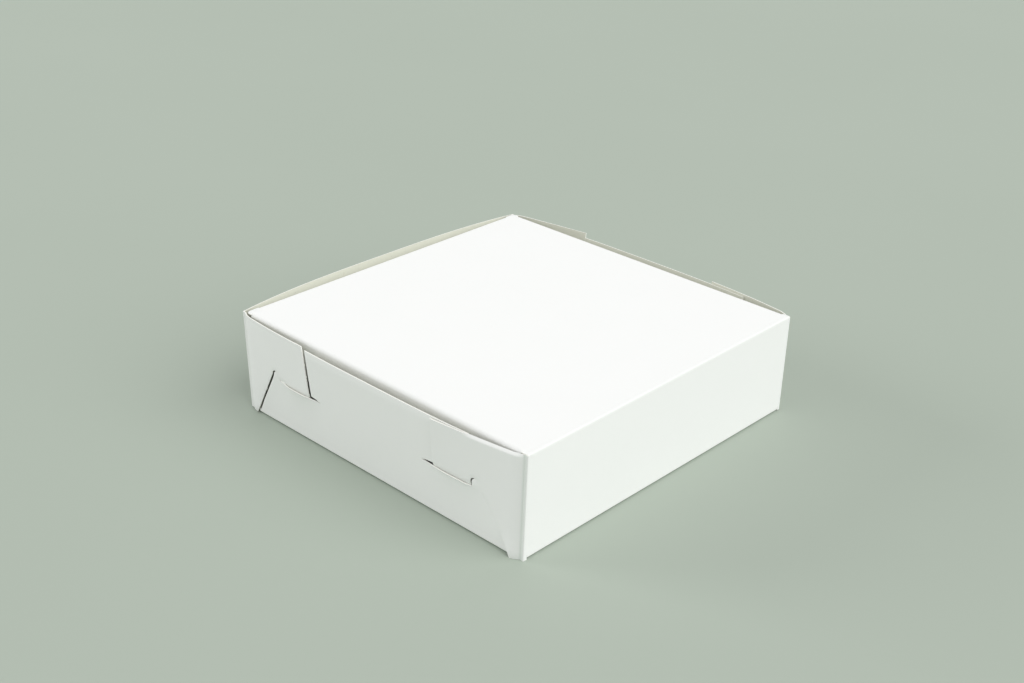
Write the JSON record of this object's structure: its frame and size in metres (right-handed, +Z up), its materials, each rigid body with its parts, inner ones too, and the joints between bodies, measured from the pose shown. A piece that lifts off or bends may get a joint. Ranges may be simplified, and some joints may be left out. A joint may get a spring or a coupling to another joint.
{
  "type": "paper box",
  "caption": "Square, shallow bakery box of folded white paperboard, with corners that hook together and a hinged lid that tucks in.",
  "frame": {"origin": "middle of the tray's underside, between the two ends and between the hinge side and the tuck side, at the foot of the walls", "axes": "+Z up, +Y towards the lid's hinge, X along the hinge"},
  "size_m": [0.1945, 0.187, 0.05],
  "materials": {
    "coated_board": "smooth white coating outside, with a faint sheen",
    "inner_board": "uncoated, cream white and matt",
    "creased_board": "coated, pressed along the crease"
  },
  "bodies": {
    "tray": {"bottom_panel": "inner_board", "back_wall": "coated_board", "front_wall": "coated_board", "right_end_wall": "coated_board", "left_end_wall": "coated_board", "back_right_flap": "coated_board", "front_right_flap": "coated_board", "back_left_flap": "coated_board", "front_left_flap": "coated_board", "bottom_fold_back": "creased_board", "bottom_fold_front": "creased_board", "bottom_fold_right": "creased_board", "bottom_fold_left": "creased_board", "corner_fold_back_right": "creased_board", "corner_fold_front_right": "creased_board", "corner_fold_back_left": "creased_board", "corner_fold_front_left": "creased_board", "lid_hinge_fold": "creased_board"},
    "lid": {"lid_panel": "coated_board", "tuck_fold": "creased_board", "lid_fold_right": "creased_board", "lid_fold_left": "creased_board"},
    "tuck_flap": {"tuck_flap": "coated_board"},
    "lid_flap_right": {"lid_flap_right": "coated_board"},
    "lid_flap_left": {"lid_flap_left": "coated_board"}
  },
  "joints": [
    {"name": "lid_hinge", "type": "hinge", "parent": "tray", "child": "lid", "pos_m": [0, 0.089, 0.049], "axis": [-1, 0, 0], "range_deg": [0, 195]},
    {"name": "tuck_hinge", "type": "hinge", "parent": "lid", "child": "tuck_flap", "pos_m": [0, -0.088, 0.049], "axis": [1, 0, 0], "range_deg": [0, 84]},
    {"name": "right_flap_hinge", "type": "hinge", "parent": "lid", "child": "lid_flap_right", "pos_m": [0.0887, 0, 0.049], "axis": [0, 1, 0], "range_deg": [0, 70]},
    {"name": "left_flap_hinge", "type": "hinge", "parent": "lid", "child": "lid_flap_left", "pos_m": [-0.0887, 0, 0.049], "axis": [0, -1, 0], "range_deg": [0, 70]}
  ]
}
